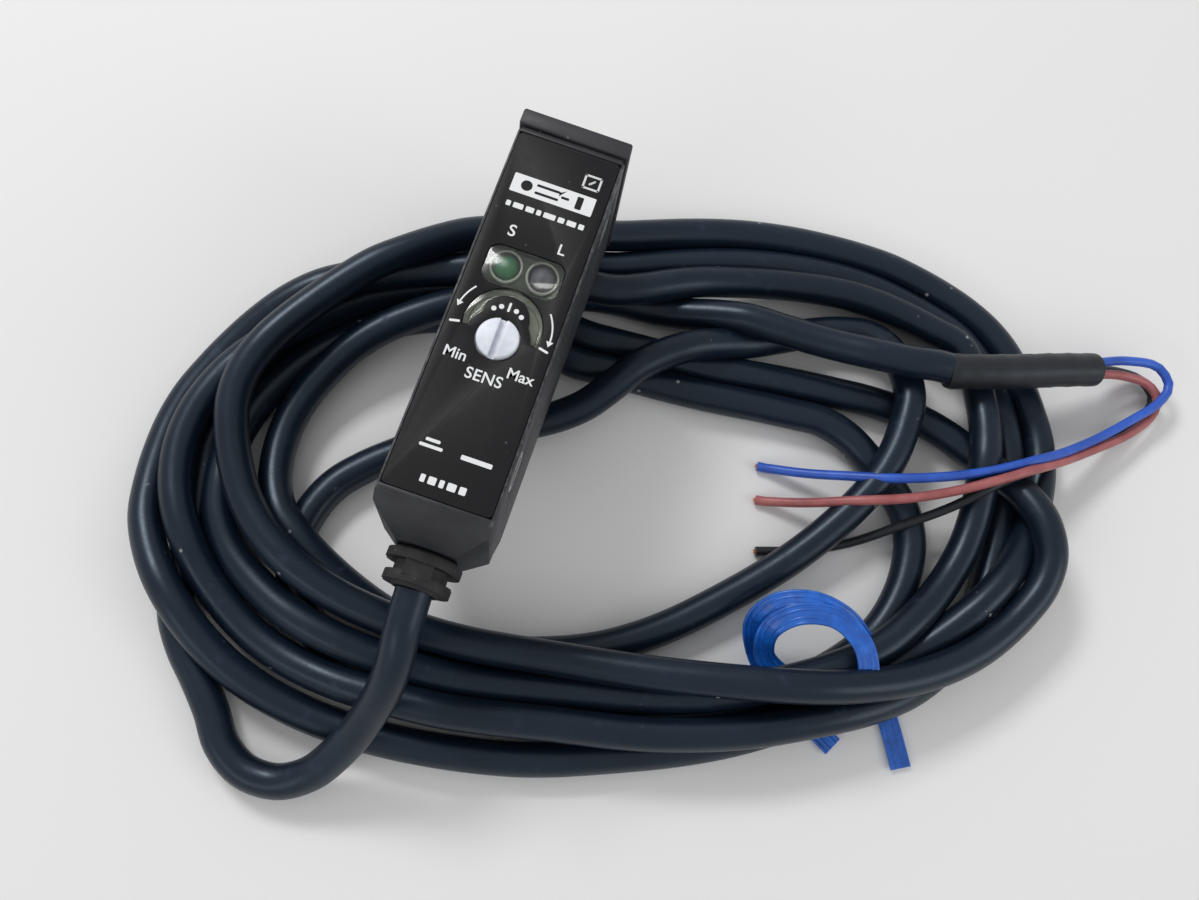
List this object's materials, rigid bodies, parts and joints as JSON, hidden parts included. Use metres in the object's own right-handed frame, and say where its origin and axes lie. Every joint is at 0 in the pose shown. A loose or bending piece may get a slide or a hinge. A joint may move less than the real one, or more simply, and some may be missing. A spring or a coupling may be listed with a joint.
{
  "type": "photoelectric sensor",
  "caption": "Slim rectangular photoelectric sensor with a slotted sensitivity knob, indicator window, end cap, ribbed strain relief and a tied coil of cable ending in free wires.",
  "frame": {"origin": "middle of the sensor's box, without its cable", "axes": "+Y along the sensor from the cable end to the end cap, +Z out of the operation panel, +X across the panel; light leaves along -Z"},
  "size_m": [0.1269, 0.0923, 0.0303],
  "materials": {
    "case_plastic": "fine moulded texture",
    "cap_plastic": "moulded",
    "label_film": "satin printed film",
    "rubber": "matt",
    "clear_plastic": "clear",
    "knob_white": "satin",
    "wheel_grey": "satin",
    "nylon": "satin",
    "housing_plastic": "moulded",
    "board_green": "solder mask",
    "chip_black": "moulded epoxy",
    "steel": "plated",
    "brass": "plain",
    "filter_film": "tinted film",
    "red_clear": "clear epoxy",
    "green_clear": "clear epoxy",
    "grey_clear": "clear epoxy",
    "cable_jacket": "smooth PVC",
    "sleeve_black": "smooth tube",
    "wire_blue": "smooth PVC",
    "wire_brown": "smooth PVC",
    "wire_black": "smooth PVC",
    "tie_blue": "ridged plastic ribbon"
  },
  "bodies": {
    "sensor": {"main_case": "case_plastic", "end_cap": "cap_plastic", "cap_seal": "rubber", "label_panel": "label_film", "indicator_window": "clear_plastic", "dial_window": "clear_plastic", "dial_housing": "housing_plastic", "shaft_seal": "rubber", "trimmer_body": "housing_plastic", "stability_led": "green_clear", "light_led": "grey_clear", "panel_board": "board_green", "main_board": "board_green", "board_connector": "housing_plastic", "signal_chip": "chip_black", "output_transistor": "chip_black", "supply_capacitor": "brass", "receiver_shield": "steel", "optics_holder": "housing_plastic", "emitter_led": "red_clear", "receiver_photodiode": "chip_black", "emitter_lens": "clear_plastic", "receiver_lens": "clear_plastic", "emitter_filter": "filter_film", "receiver_filter": "filter_film", "front_cover": "clear_plastic", "front_gasket": "rubber", "lower_mounting_sleeve": "steel", "upper_mounting_sleeve": "steel", "strain_relief": "rubber", "cable_jacket_end": "cable_jacket", "cable_clamp": "brass", "brown_wire_end": "wire_brown", "blue_wire_end": "wire_blue", "black_wire_end": "wire_black", "cable_lead": "cable_jacket", "cable_coil": "cable_jacket", "cable_tail": "cable_jacket", "cable_sleeve": "sleeve_black", "blue_wire": "wire_blue", "brown_wire": "wire_brown", "black_wire": "wire_black", "twist_tie": "tie_blue"},
    "adjuster": {"sensitivity_knob": "knob_white", "adjuster_pinion": "nylon"},
    "indicator": {"indicator_wheel": "wheel_grey"}
  },
  "joints": [
    {"name": "sensitivity_turn", "type": "hinge", "parent": "sensor", "child": "adjuster", "pos_m": [0, -0.0024, 0.0098], "axis": [0, 0, -1], "range_deg": [0, 720]},
    {"name": "indicator_turn", "type": "hinge", "parent": "sensor", "child": "indicator", "pos_m": [0, -0.0009, 0.0084], "axis": [0, 0, -1], "range_deg": [0, 205.72]}
  ],
  "couplings": [
    {"joint": "indicator_turn", "follows": "sensitivity_turn", "ratio": 0.28571}
  ]
}
